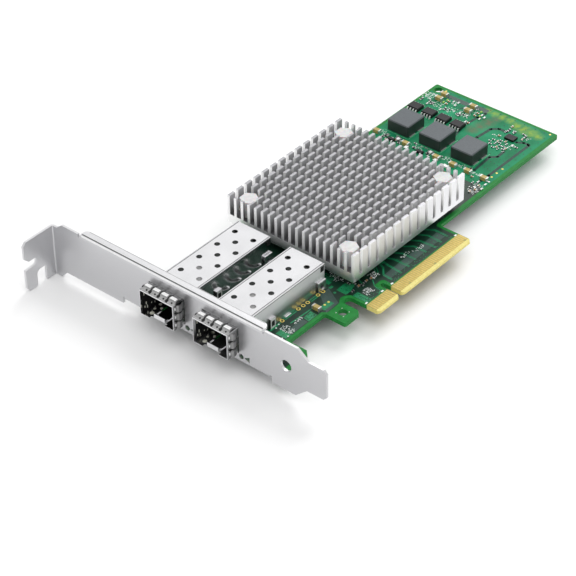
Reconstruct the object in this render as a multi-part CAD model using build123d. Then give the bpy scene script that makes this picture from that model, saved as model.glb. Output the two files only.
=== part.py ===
from build123d import *
import math
import os

# Millimetres. X runs along the board from the bracket to the free end, Y from the contact tips
# to the far long edge, Z up from the component side. The origin is the middle of the key notch,
# level with the contact tips, on the component side.

# Board
BOARD_T = 1.57
BOARD_L = 167.1
BOARD_FAR_Y = 68.9
BOARD_NEAR_Y = 13.4
BOARD_CORNER = 0.5
INNER_CORNER_R = 1.0
BRACKET_TO_KEY = 57.4
BRACKET_GAP = 0.6

# Edge connector
CONTACT_PITCH = 1.0
CONTACT_W = 0.7
CONTACT_T = 0.05
CONTACT_TOP_Y = 5.4
KEY_W = 1.9
KEY_END_Y = 8.9
SHORT_CONTACT_COUNT = 11
LONG_CONTACT_COUNT = 38
KEY_TO_CONTACT = 1.5
TONGUE_MARGIN = 0.65
TONGUE_CHAMFER = 0.9
BEVEL_L = 1.3
BEVEL_DEPTH = 0.45
LATE_CONTACT_SETBACK = 0.7
LATE_COMPONENT_SIDE = (17, 31, 48)
LATE_SOLDER_SIDE = (1,)

# Retention tab beside the tongue, and the foot under the bracket
SLOT_W = 3.75
SLOT_END_Y = 13.0
TAB_W = 8.3
TAB_Y = 4.7
TAB_HOLE_R = 1.65
TAB_HOLE_Y = 9.2
TAB_CHAMFER = 1.3
FOOT_L = 13.2
FOOT_Y = 4.2
FOOT_CHAMFER = 1.7
CORNER_HOLE_R = 1.6
CORNER_HOLE_INSET = 2.9

# Bracket sheet
SHEET_T = 0.9
BEND_R = 0.5
BRACKET_TOP_Z = 14.42
BRACKET_BOTTOM_Z = -4.0
EAR_DROP = 1.2
SEAT_Y = 105.65
BRACKET_LENGTH = 120.02
TONGUE_W = 12.0
TONGUE_TOP_Z = 11.0
TONGUE_NECK_Y = -6.9
SHOULDER_TOP_Y = -2.5
SHOULDER_BOTTOM_Y = -1.6
TONGUE_CORNER = 1.3
TONGUE_SKEW = 0.5
TOP_CORNER = (4.5, 2.0)
BOTTOM_CORNER = (5.5, 2.8)
FLANGE_D = 3.6
FLANGE_Y = (11.9, 92.7)
FLANGE_CORNER_R = 1.8
LIP_D = 3.0
LIP_Y = (9.1, 73.0)
RELIEF_W = 0.8
BRACKET_HOLE = (2.2, 4.9)
BRACKET_HOLE_R = 2.2

# Chassis tab, bent outward at the seat
TAB_REACH = 13.9
TAB_TOP_Z = 12.4
TAB_BOTTOM_Z = -7.9
TAB_CORNER = 1.4
SCREW_CUT_W = 4.4
SCREW_CUT_X = 6.65
SCREW_CUT_TOP_Z = -1.7
GUIDE_CUT_Z = (1.3, 4.0)
GUIDE_CUT_D = 5.2
GUIDE_FLARE = 1.8

# Board tabs of the bracket and their screws
BOARD_TAB_X = 12.4
NEAR_SCREW_Y = 8.4
FAR_SCREW_Y = 64.6
SCREW_FROM_FACE = 7.3
BOARD_TAB_EDGE = 3.8
NEAR_ROOT = (0.5, 8.5)
JOGGLE_START = 1.6
JOGGLE_END = 3.6
SCREW_R = 1.25
SCREW_CLEARANCE = 0.15
THREAD_CLEARANCE = 0.03
SCREW_HEAD_R = 2.4
SCREW_HEAD_H = 1.7
SCREW_TIP = 0.6
DRIVE_R = 0.9
DRIVE_DEPTH = 0.8

# Transceiver cages
PORT_PITCH = 23.4
NEAR_PORT_Y = 29.95
PORT_COUNT = 2
CAGE_W = 14.8
CAGE_H = 9.9
CAGE_L = 49.3
CAGE_PROUD = 5.1
CAGE_SHEET = 0.2
NEST_GAP = 0.03
CAGE_EDGE_R = 0.4
FLAP_H = 6.0
FLAP_START = 6.0
VENT_R = 1.05
VENT_START = 16.75
VENT_END = 5.25
VENT_COUNT = 4
VENT_ROW = 4.1
LATCH_W = 4.8
LATCH_NOTCH_W = 7.0
LATCH_NOTCH_D = 1.1
LATCH_L = 8.0
LATCH_SLIT = 0.5
LATCH_LIP_L = 2.0
LATCH_LIP_H = 1.5
FRONT_EAR_L = 2.5
REAR_EAR_L = 3.9
EAR_OUT = 0.8
EAR_TOP_Z = 4.0
EAR_FRONT = 20.6
EAR_REAR_INSET = 0.2
EAR_HOLE = 1.5
WINDOW_GAP = 0.5
WINDOW_BELOW = 0.35

# Spring-finger collar at each mouth
COLLAR_SHEET = 0.12
COLLAR_START = 0.3
COLLAR_BAND = 0.7
COLLAR_RISE = 0.45
COLLAR_RISE_AT = 2.8
COLLAR_BULGE = 1.4
COLLAR_BULGE_AT = 4.0
COLLAR_PASS_LIFT = 0.3
COLLAR_PASS_AT = 4.9
COLLAR_END = 6.3
COLLAR_END_LIFT = 0.05
TOP_FINGER_COUNT = 4
SIDE_FINGER_COUNT = 3
FINGER_GAP = 0.45

# Host connector in each cage
HOST_W = 11.2
HOST_L = 9.4
HOST_H = 5.6
HOST_REAR_GAP = 0.8
HOST_SLOT_W = 9.2
HOST_SLOT_H = 1.4
HOST_SLOT_Z = 3.9
HOST_SLOT_D = 6.6
HOST_CONTACT_COUNT = 10
HOST_CONTACT_PITCH = 0.8
HOST_CONTACT_W = 0.35
HOST_CONTACT_T = 0.15
HOST_CONTACT_INSET = 0.5
HOST_EDGE = 0.6

# Link lights
LIGHT_HOLE_Z = -1.15
LIGHT_HOLE_R = 1.0
LIGHT_ARROW_R = 1.15
LIGHT_ROUND_OFFSET = 8.8
LIGHT_ARROW_OFFSET = 11.15
LIGHT_W = 1.6
LIGHT_D = 1.2
LIGHT_H = 0.7

# Heatsink, chip and pillars
SINK_TO_CAGE = 4.4
SINK_Y = 41.4
FIN_COUNT = 19
FIN_PITCH = 3.035
FIN_T = 1.1
PIN_COUNT = 14
PIN_PITCH = 4.51
PIN_L = 3.0
SINK_TOP_Z = 14.4
CHANNEL_BASE_T = 3.5
CROSS_BASE_T = 1.8
POCKET_L = 7.6
POCKET_W = 7.2
PILLAR_SPAN_X = 52.0
PILLAR_SPAN_Y = 44.0
PILLAR_FLATS = 6.0
PILLAR_BELOW_PINS = 1.3
SHANK_R = 1.5
SHANK_CLEARANCE = 0.1
NUT_H = 2.4
NUT_TIP = 0.5
CHIP_SIZE = 23.0
CHIP_SUBSTRATE_T = 1.2
LID_SIZE = 19.0
LID_T = 1.5
PAD_T = 0.6
PAD_SIZE = 18.0

# Power stage, placed from the board's free end
INDUCTOR = (10.3, 9.6, 4.5)
END_TO_INDUCTOR = 31.2
INDUCTOR_Y = 31.0
INDUCTOR_PITCH = 14.4
INDUCTOR_COUNT = 3
INDUCTOR_EDGE = 0.35
TERMINAL = (3.2, 10.4, 0.25)
TERMINAL_INSET = 1.0
SO8_BODY = (3.9, 4.9, 1.4)
END_TO_SO8 = 18.4
SO8_Y = 45.6
SO8_PITCH = 6.5
SO8_COUNT = 4
SO8_STANDOFF = 0.12
BODY_DRAW = 0.15
LEAD_PITCH = 1.27
SIDE_LEAD_COUNT = 4
LEAD_W = 0.42
LEAD_T = 0.2
LEAD_REACH = 1.05
LEAD_FOOT = 0.55
SOT_BODY = (1.4, 2.9, 1.0)
END_TO_SOT = 41.2
SOT_YS = (59.0, 45.9)
SOT_LEAD_PITCH = 0.95
REGULATOR = (3.0, 4.0, 0.9)
END_TO_REGULATOR = 12.9
REGULATOR_Y = 25.4

# Ceramic capacitors: width along X, length along Y, height
CERAMIC = (1.6, 3.2, 1.4)
CERAMIC_END = 0.5
END_TO_INPUT_CERAMIC = 40.2
INPUT_CERAMIC_YS = (66.4, 53.1, 39.1, 31.6, 25.0, 17.8)
END_TO_OUTPUT_CERAMIC = (8.3, 4.8)
OUTPUT_CERAMIC_YS = (61.7, 48.3)
FRONT_CERAMIC_FROM_EDGE = 3.5

# Small chip resistors and capacitors: length, width, height
CHIP_PART = (1.6, 0.8, 0.5)
CHIP_END = 0.3
END_TO_INPUT_PART = 40.0
INPUT_PART_YS = (62.2, 56.3, 49.2, 43.0)
SO8_TO_PART = 6.1
SO8_PART_YS = (67.0, 62.3, 56.0, 49.4)
REGULATOR_TO_PART = 3.9
REGULATOR_PART_YS = (29.0, 26.6, 21.8)

# Sides of the polygon that stands for a small round hole or shank
ROUND_SIDE_COUNT = 16

# Places worked out from the sizes above
FACE_X = -BRACKET_TO_KEY
BACK_X = FACE_X + SHEET_T
FOLD_R = BEND_R + SHEET_T
BOARD_X0 = BACK_X + BRACKET_GAP
BOARD_X1 = BOARD_X0 + BOARD_L
SOLDER_Z = -BOARD_T
TONGUE_X1 = KEY_TO_CONTACT + (LONG_CONTACT_COUNT - 1) * CONTACT_PITCH + TONGUE_MARGIN
TONGUE_X0 = -KEY_TO_CONTACT - (SHORT_CONTACT_COUNT - 1) * CONTACT_PITCH - TONGUE_MARGIN
TAB_X1 = TONGUE_X0 - SLOT_W
TAB_X0 = TAB_X1 - TAB_W
FOOT_X1 = BOARD_X0 + FOOT_L
PORT_YS = [NEAR_PORT_Y + i * PORT_PITCH for i in range(PORT_COUNT)]
CAGE_X0 = FACE_X - CAGE_PROUD
CAGE_X1 = CAGE_X0 + CAGE_L
VENT_PITCH = (CAGE_L - VENT_START - VENT_END) / (VENT_COUNT - 1)
INDUCTOR_X = BOARD_X1 - END_TO_INDUCTOR
SO8_X = BOARD_X1 - END_TO_SO8
SOT_X = BOARD_X1 - END_TO_SOT
REGULATOR_X = BOARD_X1 - END_TO_REGULATOR
CHIP_H = CHIP_SUBSTRATE_T + LID_T
SINK_Z = CHIP_H + PAD_T
SINK_L = (PIN_COUNT - 1) * PIN_PITCH + PIN_L
SINK_X = CAGE_X1 + SINK_TO_CAGE + SINK_L / 2
SINK_W = (FIN_COUNT - 1) * FIN_PITCH + FIN_T
POCKET_Z = SINK_Z + CHANNEL_BASE_T
PILLARS = [(SINK_X + sx * PILLAR_SPAN_X / 2, SINK_Y + sy * PILLAR_SPAN_Y / 2)
           for sx in (-1, 1) for sy in (-1, 1)]
SCREWS = [(FACE_X + SCREW_FROM_FACE, y) for y in (NEAR_SCREW_Y, FAR_SCREW_Y)]
LOW = (Align.MIN, Align.MIN, Align.MIN)
ON = (Align.CENTER, Align.CENTER, Align.MIN)


def block(x, y, z):
    """A box between two limits on each axis."""
    return Pos(x[0], y[0], z[0]) * Box(x[1] - x[0], y[1] - y[0], z[1] - z[0], align=LOW)


def outline(*points):
    """A face inside a closed run of straight lines."""
    return make_face(Polyline(*points, close=True).edges())


def prism_z(face, z0, z1):
    return extrude(Pos(0, 0, z0) * face, z1 - z0)


def prism_x(face, x0, x1):
    """A face drawn in Y and Z, swept along X."""
    return extrude(Pos(x0, 0, 0) * (Plane.YZ * face), x1 - x0)


def prism_y(face, y0, y1):
    """A face drawn in X and Z, swept along Y."""
    return extrude(Pos(0, y1, 0) * (Plane.XZ * face), y1 - y0)


def drill(at, radius, z0, z1):
    return Pos(at[0], at[1], z0) * Cylinder(radius, z1 - z0, align=ON)


def round_bar(at, radius, z0, z1):
    """A small round bar or hole, drawn with a few flat sides."""
    return prism_z(Pos(at[0], at[1]) * RegularPolygon(radius, ROUND_SIDE_COUNT), z0, z1)


def group(solids):
    return Compound([s for shape in solids for s in shape.solids()])


def round_corner(face, x, y, radius):
    """Fillet the corner of a face that lies nearest to a point."""
    corner = min(face.vertices(), key=lambda v: math.hypot(v.X - x, v.Y - y))
    return fillet(corner, radius)


def cut_corner(face, x, y, length):
    """Chamfer the corner of a face that lies nearest to a point."""
    corner = min(face.vertices(), key=lambda v: math.hypot(v.X - x, v.Y - y))
    return chamfer(corner, length)


# Circuit board

def board_face():
    slot_mid = (TAB_X1 + TONGUE_X0) / 2
    face = outline(
        (BOARD_X0, BOARD_FAR_Y), (BOARD_X1, BOARD_FAR_Y), (BOARD_X1, BOARD_NEAR_Y),
        (TONGUE_X1, BOARD_NEAR_Y), (TONGUE_X1, 0), (slot_mid, 0), (slot_mid, TAB_Y),
        (TAB_X0, TAB_Y), (TAB_X0, BOARD_NEAR_Y), (FOOT_X1, BOARD_NEAR_Y),
        (FOOT_X1, FOOT_Y), (BOARD_X0, FOOT_Y))
    slot_r = SLOT_W / 2
    slot = Pos(slot_mid, SLOT_END_Y - slot_r) * Rectangle(
        SLOT_W, 2 * SLOT_END_Y, align=(Align.CENTER, Align.MAX))
    slot += Pos(slot_mid, SLOT_END_Y - slot_r) * Circle(slot_r)
    key_r = KEY_W / 2
    key = Pos(0, KEY_END_Y - key_r) * Rectangle(
        KEY_W, 2 * KEY_END_Y, align=(Align.CENTER, Align.MAX))
    key += Pos(0, KEY_END_Y - key_r) * Circle(key_r)
    face = face - slot - key
    for x in (BOARD_X0, BOARD_X1):
        face = cut_corner(face, x, BOARD_FAR_Y, BOARD_CORNER)
    face = cut_corner(face, BOARD_X1, BOARD_NEAR_Y, BOARD_CORNER)
    for x in (TONGUE_X1, TAB_X0, FOOT_X1):
        face = round_corner(face, x, BOARD_NEAR_Y, INNER_CORNER_R)
    for x in (TONGUE_X0, -key_r, key_r, TONGUE_X1):
        face = cut_corner(face, x, 0, TONGUE_CHAMFER)
    face = cut_corner(face, TAB_X1, TAB_Y, TAB_CHAMFER)
    face = cut_corner(face, TAB_X0, TAB_Y, BOARD_CORNER)
    return cut_corner(face, FOOT_X1, FOOT_Y, FOOT_CHAMFER)


def circuit_board():
    board = prism_z(board_face(), SOLDER_Z, 0)
    run = (TONGUE_X0 - 1, TONGUE_X1 + 1)
    board -= prism_x(outline((0, 0), (BEVEL_L, 0), (0, -BEVEL_DEPTH)), *run)
    board -= prism_x(outline((0, SOLDER_Z), (0, SOLDER_Z + BEVEL_DEPTH), (BEVEL_L, SOLDER_Z)), *run)
    corner = (BOARD_X1 - CORNER_HOLE_INSET, BOARD_FAR_Y - CORNER_HOLE_INSET)
    board -= drill((TAB_X0 + TAB_W / 2, TAB_HOLE_Y), TAB_HOLE_R, SOLDER_Z, 0)
    board -= drill(corner, CORNER_HOLE_R, SOLDER_Z, 0)
    for at in SCREWS:
        board -= round_bar(at, SCREW_R + SCREW_CLEARANCE, SOLDER_Z, 0)
    for at in PILLARS:
        board -= round_bar(at, SHANK_R + SHANK_CLEARANCE, SOLDER_Z, 0)
    return board


def contact_x(pin):
    """Centre of a contact, counted from the bracket end."""
    if pin <= SHORT_CONTACT_COUNT:
        return -KEY_TO_CONTACT - (SHORT_CONTACT_COUNT - pin) * CONTACT_PITCH
    return KEY_TO_CONTACT + (pin - SHORT_CONTACT_COUNT - 1) * CONTACT_PITCH


def edge_contacts():
    strips = []
    for late, z0 in ((LATE_COMPONENT_SIDE, 0), (LATE_SOLDER_SIDE, SOLDER_Z - CONTACT_T)):
        for pin in range(1, SHORT_CONTACT_COUNT + LONG_CONTACT_COUNT + 1):
            x = contact_x(pin)
            y0 = BEVEL_L + (LATE_CONTACT_SETBACK if pin in late else 0)
            strips.append(block((x - CONTACT_W / 2, x + CONTACT_W / 2),
                                (y0, CONTACT_TOP_Y), (z0, z0 + CONTACT_T)))
    return group(strips)


# Bracket

def bracket_face():
    """Flat of the bracket in Y and Z, with its tongue, ears and relief notches."""
    end_y = SEAT_Y - BRACKET_LENGTH
    ear_z = BRACKET_BOTTOM_Z - EAR_DROP
    tongue_z = TONGUE_TOP_Z - TONGUE_W
    face = outline(
        (end_y, tongue_z), (end_y, TONGUE_TOP_Z), (TONGUE_NECK_Y, TONGUE_TOP_Z),
        (SHOULDER_TOP_Y, BRACKET_TOP_Z), (SEAT_Y - TOP_CORNER[0], BRACKET_TOP_Z),
        (SEAT_Y - TOP_CORNER[1], TAB_TOP_Z),
        (SEAT_Y - BEND_R, TAB_TOP_Z), (SEAT_Y - BEND_R, TAB_BOTTOM_Z),
        (SEAT_Y - BOTTOM_CORNER[1], TAB_BOTTOM_Z), (SEAT_Y - BOTTOM_CORNER[0], ear_z),
        (LIP_Y[1] + RELIEF_W, ear_z),
        (LIP_Y[1] + RELIEF_W, BRACKET_BOTTOM_Z), (LIP_Y[0] - RELIEF_W, BRACKET_BOTTOM_Z),
        (LIP_Y[0] - RELIEF_W, ear_z), (SHOULDER_BOTTOM_Y, ear_z),
        (TONGUE_NECK_Y + TONGUE_SKEW, tongue_z))
    for z in (tongue_z, TONGUE_TOP_Z):
        face = cut_corner(face, end_y, z, TONGUE_CORNER)
    cuts = [(FLANGE_Y, (BRACKET_TOP_Z - FOLD_R, BRACKET_TOP_Z + 1)),
            (LIP_Y, (BRACKET_BOTTOM_Z - 1, BRACKET_BOTTOM_Z + FOLD_R))]
    for ys, zs in cuts:
        y0, y1 = ys[0] - RELIEF_W, ys[1] + RELIEF_W
        face -= outline((y0, zs[0]), (y1, zs[0]), (y1, zs[1]), (y0, zs[1]))
    return face


def port_window(y):
    low, high = -WINDOW_BELOW, CAGE_H + WINDOW_GAP
    return Pos(y, low) * Rectangle(
        CAGE_W + 2 * WINDOW_GAP, high - low, align=(Align.CENTER, Align.MIN))


def light_holes(y):
    """The round and the arrow-shaped opening beside a port."""
    arrow_y = y - LIGHT_ARROW_OFFSET
    z = LIGHT_HOLE_Z
    arrow = outline((arrow_y - LIGHT_ARROW_R, z - LIGHT_ARROW_R), (arrow_y + LIGHT_ARROW_R, z),
                    (arrow_y - LIGHT_ARROW_R, z + LIGHT_ARROW_R))
    return [Pos(y - LIGHT_ROUND_OFFSET, z) * RegularPolygon(LIGHT_HOLE_R, ROUND_SIDE_COUNT), arrow]


def chassis_tab():
    """The tab that seats on the chassis, drawn in X and Z."""
    out_x = FACE_X - TAB_REACH
    in_x = FACE_X - BEND_R
    face = outline((in_x, TAB_TOP_Z), (out_x, TAB_TOP_Z),
                   (out_x, TAB_BOTTOM_Z), (in_x, TAB_BOTTOM_Z))
    for z in (TAB_TOP_Z, TAB_BOTTOM_Z):
        face = cut_corner(face, out_x, z, TAB_CORNER)
    cut_x = FACE_X - SCREW_CUT_X
    cut = Pos(cut_x, SCREW_CUT_TOP_Z) * Rectangle(
        SCREW_CUT_W, 2 * (SCREW_CUT_TOP_Z - TAB_BOTTOM_Z), align=(Align.CENTER, Align.MAX))
    for side in (-1, 1):
        cut = round_corner(cut, cut_x + side * SCREW_CUT_W / 2, SCREW_CUT_TOP_Z, SCREW_CUT_W * 0.4)
        face = round_corner(face - cut, cut_x + side * SCREW_CUT_W / 2, TAB_BOTTOM_Z, BEND_R)
    low, high = GUIDE_CUT_Z
    guide = outline((out_x - 1, low - 0.4), (out_x + GUIDE_CUT_D, low), (out_x + GUIDE_CUT_D, high),
                    (out_x + GUIDE_FLARE, high), (out_x - 0.1, high + GUIDE_FLARE),
                    (out_x - 1, high + GUIDE_FLARE))
    for z in (low, high):
        guide = round_corner(guide, out_x + GUIDE_CUT_D, z, (high - low) * 0.3)
    return prism_y(face - guide, SEAT_Y, SEAT_Y + SHEET_T)


def board_tab(screw_y, root_y):
    """A tab that leaves the bottom lip, steps up and lies under the board round its screw hole."""
    lip_top = BRACKET_BOTTOM_Z + SHEET_T
    low = SOLDER_Z - SHEET_T
    x0, x1 = FACE_X + JOGGLE_START, FACE_X + JOGGLE_END
    step = outline((x0, BRACKET_BOTTOM_Z), (x1, low), (x1 + SHEET_T, low), (x1 + SHEET_T, SOLDER_Z),
                   (x1, SOLDER_Z), (x0, lip_top))
    tab = prism_y(step, *root_y)
    near = min(root_y[0], screw_y - BOARD_TAB_EDGE)
    far = max(root_y[1], screw_y + BOARD_TAB_EDGE)
    plate = outline((x1, near), (FACE_X + BOARD_TAB_X, near), (FACE_X + BOARD_TAB_X, far), (x1, far))
    for y in (near, far):
        plate = cut_corner(plate, FACE_X + BOARD_TAB_X, y, INNER_CORNER_R)
    tab += prism_z(plate, low, SOLDER_Z)
    at = (FACE_X + SCREW_FROM_FACE, screw_y)
    return tab - round_bar(at, SCREW_R + THREAD_CLEARANCE, low, SOLDER_Z)


def bracket():
    face = bracket_face()
    face -= Pos(*BRACKET_HOLE) * Circle(BRACKET_HOLE_R)
    for y in PORT_YS:
        face -= port_window(y)
        for hole in light_holes(y):
            face -= hole
    sheet = prism_x(face, FACE_X, BACK_X)
    seat_fold = quarter_ring((FACE_X - BEND_R, SEAT_Y - BEND_R), 1, 1)
    sheet += [prism_z(seat_fold, TAB_BOTTOM_Z, TAB_TOP_Z), chassis_tab()]
    sheet += [top_flange(), bottom_lip()]
    sheet += board_tab(NEAR_SCREW_Y, (LIP_Y[0] + NEAR_ROOT[0], LIP_Y[0] + NEAR_ROOT[1]))
    return sheet + board_tab(FAR_SCREW_Y, (FAR_SCREW_Y - BOARD_TAB_EDGE, FAR_SCREW_Y + BOARD_TAB_EDGE))


def quarter_ring(centre, side_a, side_b):
    """The section of a fold: a quarter of a ring, on the given sides of its centre."""
    ring = Circle(FOLD_R) - Circle(BEND_R)
    quarter = Pos(side_a * FOLD_R / 2, side_b * FOLD_R / 2) * Rectangle(FOLD_R, FOLD_R)
    return Pos(*centre) * (ring & quarter)


def top_flange():
    z = BRACKET_TOP_Z
    fold = quarter_ring((FACE_X + FOLD_R, z - FOLD_R), -1, 1)
    x0, x1 = FACE_X + FOLD_R, FACE_X + FLANGE_D
    flange = outline((x0, FLANGE_Y[0]), (x1, FLANGE_Y[0]), (x1, FLANGE_Y[1]), (x0, FLANGE_Y[1]))
    for y in FLANGE_Y:
        flange = round_corner(flange, x1, y, FLANGE_CORNER_R)
    return prism_y(fold, *FLANGE_Y) + prism_z(flange, z - SHEET_T, z)


def bottom_lip():
    z = BRACKET_BOTTOM_Z
    fold = quarter_ring((FACE_X + FOLD_R, z + FOLD_R), -1, -1)
    return prism_y(fold, *LIP_Y) + block((FACE_X + FOLD_R, FACE_X + LIP_D), LIP_Y, (z, z + SHEET_T))


def bracket_screws():
    screws = []
    tip_z = SOLDER_Z - SHEET_T - SCREW_TIP
    for at in SCREWS:
        head = Pos(at[0], at[1], 0) * Cylinder(SCREW_HEAD_R, SCREW_HEAD_H, align=ON)
        for turn in (0, 90):
            head -= Pos(at[0], at[1], SCREW_HEAD_H) * Rot(0, 0, turn) * Box(
                2 * DRIVE_R, DRIVE_R / 2, 2 * DRIVE_DEPTH)
        screws.append(head + round_bar(at, SCREW_R, tip_z, 0))
    return group(screws)


# Cages

def cage_base(y):
    """Bottom, outer side walls, latch tongue and soldered ears, folded from one sheet."""
    half = CAGE_W / 2
    shell = block((CAGE_X0, CAGE_X1), (y - half, y + half), (0, CAGE_H))
    shell -= block((CAGE_X0 - 1, CAGE_X1 + 1), (y - half + CAGE_SHEET, y + half - CAGE_SHEET),
                   (CAGE_SHEET, CAGE_H + 1))
    host_x = CAGE_X1 - CAGE_SHEET - HOST_REAR_GAP - HOST_L
    shell -= block((host_x - 1, CAGE_X1 + 1), (y - half + CAGE_SHEET, y + half - CAGE_SHEET), (-1, 1))
    shell -= block((CAGE_X0 - 1, CAGE_X0 + LATCH_NOTCH_D),
                   (y - LATCH_NOTCH_W / 2, y + LATCH_NOTCH_W / 2), (-1, 1))
    for side in (-1, 1):
        slit = y + side * (LATCH_W + LATCH_SLIT) / 2
        shell -= block((CAGE_X0 - 1, CAGE_X0 + LATCH_L),
                       (slit - LATCH_SLIT / 2, slit + LATCH_SLIT / 2), (-1, 1))
    lip_x = CAGE_X0 + LATCH_NOTCH_D
    lip = outline((lip_x + LATCH_LIP_L, 0), (lip_x + LATCH_LIP_L, CAGE_SHEET),
                  (lip_x + CAGE_SHEET, LATCH_LIP_H), (lip_x, LATCH_LIP_H - CAGE_SHEET), (lip_x, 0))
    shell += prism_y(lip, y - LATCH_W / 2, y + LATCH_W / 2)
    rear_x = CAGE_X1 - EAR_REAR_INSET - REAR_EAR_L
    for x, length in ((CAGE_X0 + EAR_FRONT, FRONT_EAR_L), (rear_x, REAR_EAR_L)):
        for side in (-1, 1):
            shell += soldered_ear(x, length, y + side * half, side)
    return shell


def soldered_ear(x, length, wall_y, side):
    """A shelf that leaves the side wall and turns down to the board, with a square hole."""
    out_y = wall_y + side * EAR_OUT
    ys = sorted((wall_y, out_y))
    leg_ys = sorted((out_y, out_y - side * CAGE_SHEET))
    ear = block((x, x + length), ys, (EAR_TOP_Z - CAGE_SHEET, EAR_TOP_Z))
    ear += block((x, x + length), leg_ys, (0, EAR_TOP_Z))
    middle = x + length / 2
    return ear - block((middle - EAR_HOLE / 2, middle + EAR_HOLE / 2), (ys[0] - 1, ys[1] + 1),
                       (EAR_TOP_Z / 2 - EAR_HOLE / 2, EAR_TOP_Z / 2 + EAR_HOLE / 2))


def cage_cover(y):
    """Perforated top, inner side flaps and back wall."""
    half = CAGE_W / 2 - CAGE_SHEET - NEST_GAP
    x1 = CAGE_X1
    cover = block((CAGE_X0, x1), (y - half, y + half), (CAGE_H - CAGE_SHEET, CAGE_H))
    for side in (-1, 1):
        ys = sorted((y + side * half, y + side * (half - CAGE_SHEET)))
        cover += block((CAGE_X0 + FLAP_START, x1), ys, (CAGE_H - FLAP_H, CAGE_H))
    cover += block((x1 - CAGE_SHEET, x1), (y - half, y + half), (CAGE_SHEET, CAGE_H))
    for row in (-1, 0, 1):
        inner = row == 0
        for i in range(VENT_COUNT - inner):
            at = (CAGE_X0 + VENT_START + (i + inner / 2) * VENT_PITCH, y + row * VENT_ROW)
            cover -= round_bar(at, VENT_R, CAGE_H - CAGE_SHEET, CAGE_H)
    return cover


def spring_finger(width, pass_lift):
    """One bowed finger, standing on a wall at height 0, running along X from the mouth."""
    x0, x1, t = COLLAR_START + COLLAR_BAND, COLLAR_BULGE_AT, COLLAR_SHEET
    top = [(x0, t), (COLLAR_RISE_AT, COLLAR_RISE + t), (x1, COLLAR_BULGE + t),
           (COLLAR_PASS_AT, pass_lift + t), (COLLAR_END, COLLAR_END_LIFT + t)]
    under = [(x, z - t) for x, z in reversed(top)]
    return prism_y(outline(*top, *under), -width / 2, width / 2)


def emi_collar(y):
    """A band round the cage's mouth with bowed fingers on all four sides."""
    half = CAGE_W / 2
    x0 = CAGE_X0 + COLLAR_START
    x1 = x0 + COLLAR_BAND
    t = COLLAR_SHEET
    collar = block((x0, x1), (y - half - t, y + half + t), (-t, CAGE_H + t))
    collar -= block((x0 - 1, x1 + 1), (y - half, y + half), (0, CAGE_H))
    collar -= block((x0 - 1, x1 + 1), (y - LATCH_NOTCH_W / 2, y + LATCH_NOTCH_W / 2), (-1, 1))
    top_step = CAGE_W / TOP_FINGER_COUNT
    side_step = CAGE_H / SIDE_FINGER_COUNT
    below = (CAGE_W - LATCH_NOTCH_W) / 2
    fingers = [Pos(CAGE_X0, y - half + (i + 0.5) * top_step, CAGE_H)
               * spring_finger(top_step - FINGER_GAP, COLLAR_PASS_LIFT)
               for i in range(TOP_FINGER_COUNT)]
    for side in (-1, 1):
        fingers += [Pos(CAGE_X0, y + side * half, (i + 0.5) * side_step) * Rot(-90 * side, 0, 0)
                    * spring_finger(side_step - FINGER_GAP, COLLAR_PASS_LIFT)
                    for i in range(SIDE_FINGER_COUNT)]
        fingers.append(Pos(CAGE_X0, y + side * (half - below / 2), 0) * Rot(180, 0, 0)
                       * spring_finger(below - FINGER_GAP, COLLAR_END_LIFT))
    return collar + fingers


def port_connector(y):
    x1 = CAGE_X1 - CAGE_SHEET - HOST_REAR_GAP
    x0 = x1 - HOST_L
    body = block((x0, x1), (y - HOST_W / 2, y + HOST_W / 2), (0, HOST_H))
    body = chamfer(body.edges().filter_by(Axis.Y).sort_by(Axis.X)[:2].sort_by(Axis.Z)[-1], HOST_EDGE)
    return body - block((x0 - 1, x0 + HOST_SLOT_D), (y - HOST_SLOT_W / 2, y + HOST_SLOT_W / 2),
                        (HOST_SLOT_Z - HOST_SLOT_H / 2, HOST_SLOT_Z + HOST_SLOT_H / 2))


def port_contacts(y):
    """A row of flat contacts on the floor of the connector's slot."""
    x1 = CAGE_X1 - CAGE_SHEET - HOST_REAR_GAP - HOST_L + HOST_SLOT_D
    strips = []
    for i in range(HOST_CONTACT_COUNT):
        at = y + (i - (HOST_CONTACT_COUNT - 1) / 2) * HOST_CONTACT_PITCH
        ys = (at - HOST_CONTACT_W / 2, at + HOST_CONTACT_W / 2)
        floor = HOST_SLOT_Z - HOST_SLOT_H / 2
        strips.append(block((x1 - HOST_SLOT_D + HOST_CONTACT_INSET, x1), ys,
                            (floor, floor + HOST_CONTACT_T)))
    return group(strips)


def port_lights():
    lights = []
    for y in PORT_YS:
        for offset in (LIGHT_ROUND_OFFSET, LIGHT_ARROW_OFFSET):
            at = y - offset
            lights.append(block((BOARD_X0, BOARD_X0 + LIGHT_D), (at - LIGHT_W / 2, at + LIGHT_W / 2),
                                (0, LIGHT_H)))
    return group(lights)


# Heatsink and what it stands on

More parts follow.
